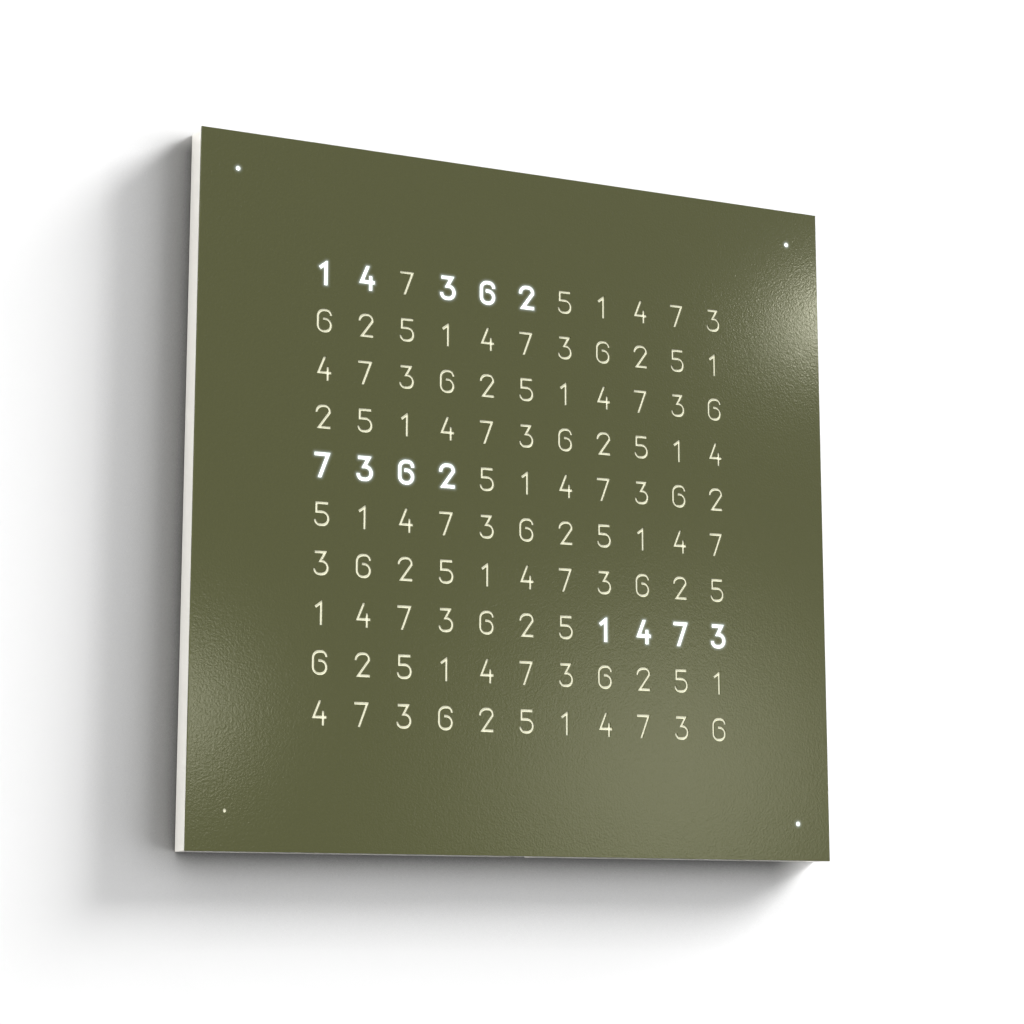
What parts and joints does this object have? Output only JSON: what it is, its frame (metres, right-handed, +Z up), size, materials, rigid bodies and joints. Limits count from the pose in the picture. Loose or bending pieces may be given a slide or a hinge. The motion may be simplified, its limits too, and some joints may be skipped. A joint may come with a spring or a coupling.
{
  "type": "word clock",
  "caption": "Square wall clock that shows the time with lit characters cut through a flat steel cover, held by magnets over a thin lacquered body.",
  "frame": {"origin": "middle of the rear face, on the plane of the wall", "axes": "+X to the right seen from the front, +Y into the wall, +Z up"},
  "size_m": [0.45, 0.02, 0.45],
  "materials": {
    "cover_coat": "fine textured olive powder coat, satin",
    "body_lacquer": "warm off-white satin lacquer on fibreboard",
    "opal_sheet": "matt cream opal sheet",
    "black_moulding": "moulded, fine spark texture",
    "rear_moulding": "moulded, fine grain",
    "button_white": "moulded, satin",
    "clear_guide": "polished clear acrylic",
    "white_light": "surface-mount light, phosphor window",
    "white_film": "flat film lead",
    "ribbon_grey": "ribbed flat cable",
    "foam_tape": "double-sided foam tape",
    "circuit_board": "green solder mask",
    "chip_black": "moulded epoxy",
    "nickel": "nickel plated",
    "bright_steel": "turned",
    "zinc_steel": "zinc plated"
  },
  "bodies": {
    "clock": {"body_panel": "body_lacquer", "ledge_tapes": "foam_tape", "led_board": "circuit_board", "matrix_leds": "white_light", "led_driver_chips": "chip_black", "light_panel": "black_moulding", "diffuser_sheet": "opal_sheet", "minute_led_board_1": "circuit_board", "minute_led_board_2": "circuit_board", "minute_led_board_3": "circuit_board", "minute_led_board_4": "circuit_board", "minute_led_1": "white_light", "minute_led_2": "white_light", "minute_led_3": "white_light", "minute_led_4": "white_light", "minute_light_guide_1": "clear_guide", "minute_light_guide_2": "clear_guide", "minute_light_guide_3": "clear_guide", "minute_light_guide_4": "clear_guide", "minute_lead_1": "white_film", "minute_lead_2": "white_film", "minute_lead_3": "white_film", "minute_lead_4": "white_film", "cover_magnets": "nickel", "rear_cover": "rear_moulding", "rear_cover_screws": "bright_steel", "keyhole_plate_left": "zinc_steel", "keyhole_plate_right": "zinc_steel", "control_board": "circuit_board", "control_board_tape": "foam_tape", "microcontroller": "chip_black", "quartz_crystal": "nickel", "voltage_regulator": "chip_black", "control_board_header": "black_moulding", "light_board_header": "black_moulding", "coin_cell_holder": "black_moulding", "coin_cell": "nickel", "ribbon_cable": "ribbon_grey", "dc_jack_housing": "black_moulding", "dc_jack_pin": "nickel", "switch_housings": "black_moulding", "light_sensor": "chip_black", "sensor_light_guide": "clear_guide"},
    "cover": {"front_cover": "cover_coat", "cover_studs": "bright_steel"},
    "button_1": {"button_1": "button_white", "key_plunger_1": "black_moulding"},
    "button_2": {"button_2": "button_white", "key_plunger_2": "black_moulding"},
    "button_3": {"button_3": "button_white", "key_plunger_3": "black_moulding"},
    "button_4": {"button_4": "button_white", "key_plunger_4": "black_moulding"}
  },
  "joints": [
    {"name": "cover_lift_off", "type": "slide", "parent": "clock", "child": "cover", "axis": [0, -1, 0], "range_m": [0, 0.06]},
    {"name": "button_1_press", "type": "slide", "parent": "clock", "child": "button_1", "axis": [0, 0, 1], "range_m": [0, 0.0005], "stiffness_N_per_m": 1500, "springref_m": -0.0003},
    {"name": "button_2_press", "type": "slide", "parent": "clock", "child": "button_2", "axis": [0, 0, 1], "range_m": [0, 0.0005], "stiffness_N_per_m": 1500, "springref_m": -0.0003},
    {"name": "button_3_press", "type": "slide", "parent": "clock", "child": "button_3", "axis": [0, 0, 1], "range_m": [0, 0.0005], "stiffness_N_per_m": 1500, "springref_m": -0.0003},
    {"name": "button_4_press", "type": "slide", "parent": "clock", "child": "button_4", "axis": [0, 0, 1], "range_m": [0, 0.0005], "stiffness_N_per_m": 1500, "springref_m": -0.0003}
  ]
}
